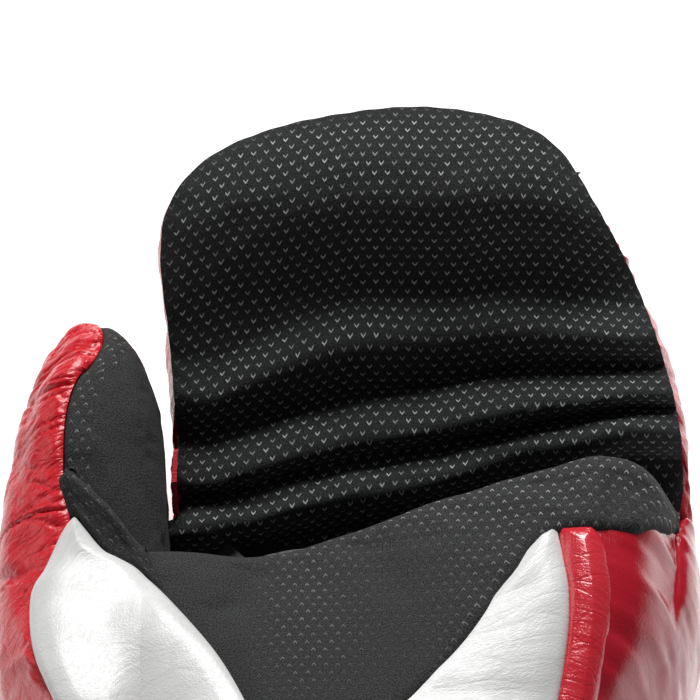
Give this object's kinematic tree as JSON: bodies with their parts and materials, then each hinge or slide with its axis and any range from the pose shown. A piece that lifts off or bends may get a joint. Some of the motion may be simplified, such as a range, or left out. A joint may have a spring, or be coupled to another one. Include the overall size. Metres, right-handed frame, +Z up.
{
  "type": "training glove",
  "caption": "Left-hand padded training glove lying on its back, palm up: closed finger section, tied thumb, mesh palm and a cuff with a peel-open strap.",
  "frame": {"origin": "on the resting face, under the middle of the glove's length and width", "axes": "+X from the thumb to the little-finger side, +Y from the cuff to the fingertips, +Z up, out of the palm"},
  "size_m": [0.171, 0.2838, 0.1283],
  "materials": {
    "red_vinyl": "glossy coated vinyl, wrinkled where it is gathered",
    "red_strip": "crinkled glossy vinyl",
    "white_vinyl": "satin vinyl",
    "knit_mesh": "spacer knit with a repeating angled mark",
    "foam": "layered closed-cell foam, matte",
    "lining": "brushed nylon lining",
    "binding": "folded tape",
    "loop_pile": "loop pile",
    "hook_tape": "moulded hook tape",
    "badge": "blank moulded badge"
  },
  "bodies": {
    "hand": {"hand_back_shell": "red_vinyl", "hand_back_foam": "foam", "palm_foam": "foam", "palm_panel": "knit_mesh", "hand_lining": "lining", "grip_bar": "foam", "crease_gusset": "knit_mesh", "wrist_wing_right": "white_vinyl", "side_strip": "red_strip", "thumb_base_shell": "red_vinyl", "thumb_base_foam": "foam", "wrist_wing_left": "white_vinyl", "thumb_web": "knit_mesh", "cuff_shell": "red_vinyl", "cuff_foam": "foam", "cuff_lining": "lining", "cuff_tongue": "knit_mesh", "cuff_binding": "binding", "loop_patch": "loop_pile", "strap_anchor": "red_vinyl"},
    "fingers": {"knuckle_shell": "red_vinyl", "knuckle_foam": "foam", "finger_pad_foam": "foam", "finger_panel": "knit_mesh", "finger_lining": "lining"},
    "thumb": {"thumb_shell": "red_vinyl", "thumb_foam": "foam", "thumb_inner_panel": "knit_mesh", "thumb_lining": "lining", "thumb_tether": "red_vinyl"},
    "strap": {"strap_base": "red_vinyl", "strap_hook_base": "hook_tape"},
    "strap_end": {"strap_tip": "red_vinyl", "strap_hook_tip": "hook_tape", "strap_badge": "badge"}
  },
  "joints": [
    {"name": "finger_curl", "type": "hinge", "parent": "hand", "child": "fingers", "pos_m": [0.0221, 0.02335, 0.0508], "axis": [0.9903, 0.1392, 0], "range_deg": [0, 25], "stiffness_Nm_per_rad": 1.5},
    {"name": "thumb_fold", "type": "hinge", "parent": "hand", "child": "thumb", "pos_m": [-0.0646, 0.00535, 0.0698], "axis": [1, 0, 0], "range_deg": [0, 10], "stiffness_Nm_per_rad": 0.3},
    {"name": "strap_open", "type": "hinge", "parent": "hand", "child": "strap", "pos_m": [0.0647, -0.10395, 0.04756], "axis": [-0.089, 0.993, -0.0773], "range_deg": [0, 150]},
    {"name": "strap_peel", "type": "hinge", "parent": "strap", "child": "strap_end", "pos_m": [-0.01393, -0.10395, 0.07675], "axis": [0.0246, 0.9914, -0.1286], "range_deg": [0, 70]}
  ],
  "couplings": [
    {"joint": "thumb_fold", "follows": "finger_curl", "ratio": 0.4}
  ]
}
